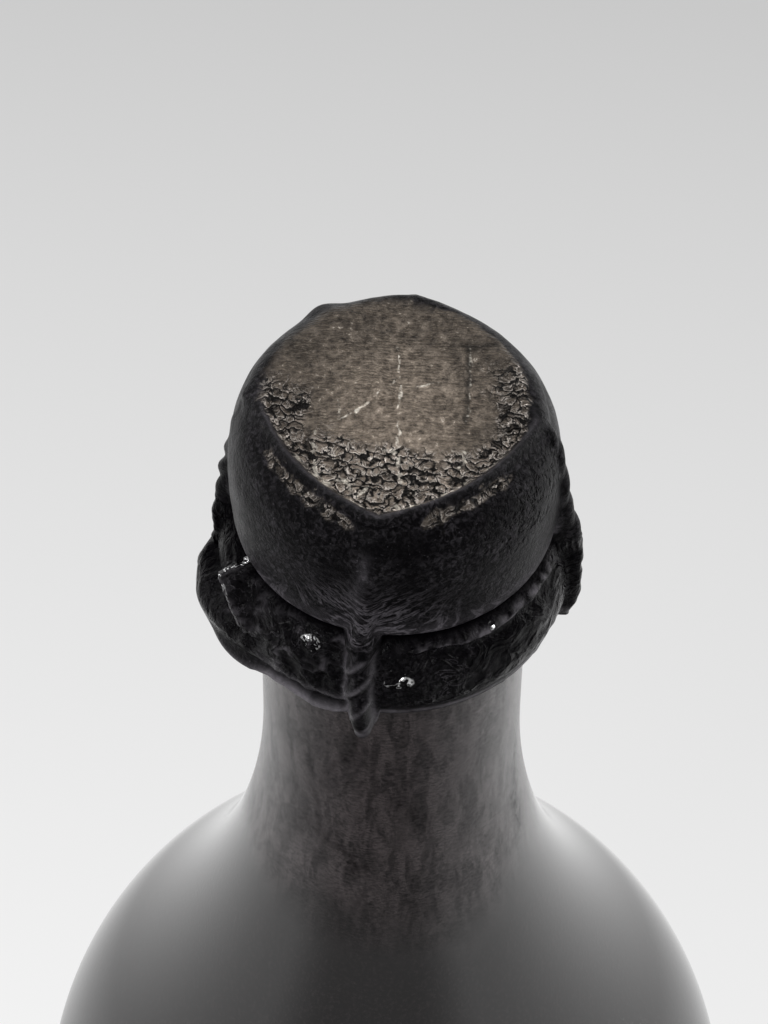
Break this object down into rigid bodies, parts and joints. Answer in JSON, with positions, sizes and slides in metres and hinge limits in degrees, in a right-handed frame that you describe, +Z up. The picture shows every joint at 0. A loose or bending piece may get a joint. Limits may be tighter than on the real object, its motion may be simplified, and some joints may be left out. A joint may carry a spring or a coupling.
{
  "type": "champagne bottle",
  "caption": "Sealed champagne bottle with a mushroom cork, twisted wire cage and pull loop, metal cap, and a black foil capsule with a bronze-coloured top.",
  "frame": {"origin": "on the standing surface, on the bottle's axis", "axes": "+Z up along the bottle's axis; -Y towards the cage leg that faces the picture's viewer"},
  "size_m": [0.0888, 0.0888, 0.3179],
  "materials": {
    "dark_glass": "polished",
    "agglomerate_cork": "matte",
    "natural_cork": "matte",
    "tinplate": "satin",
    "steel_wire": "satin",
    "bronze_foil": "satin",
    "black_foil": "satin"
  },
  "bodies": {
    "bottle": {"glass_bottle": "dark_glass"},
    "cork": {"cork_body": "agglomerate_cork", "cork_disc_upper": "natural_cork", "cork_disc_lower": "natural_cork"},
    "cage": {"metal_cap": "tinplate", "cage_wire": "steel_wire", "belt_wire": "steel_wire"},
    "loop": {"pull_loop": "steel_wire", "foil_flap": "black_foil"},
    "capsule": {"capsule_disc": "bronze_foil", "capsule_skirt": "black_foil"}
  },
  "joints": [
    {"name": "cork_pull", "type": "slide", "parent": "bottle", "child": "cork", "axis": [0, 0, 1], "range_m": [0, 0.05]},
    {"name": "cage_lift", "type": "slide", "parent": "cork", "child": "cage", "axis": [0, 0, 1], "range_m": [0, 0.04], "deforming": ["cage_wire", "belt_wire"]},
    {"name": "capsule_lift", "type": "slide", "parent": "cage", "child": "capsule", "axis": [0, 0, 1], "range_m": [0, 0.045]},
    {"name": "loop_fold", "type": "hinge", "parent": "cage", "child": "loop", "pos_m": [-0.01685, -0.00859, 0.2886], "axis": [0.454, -0.891, 0], "range_deg": [0, 100]}
  ]
}
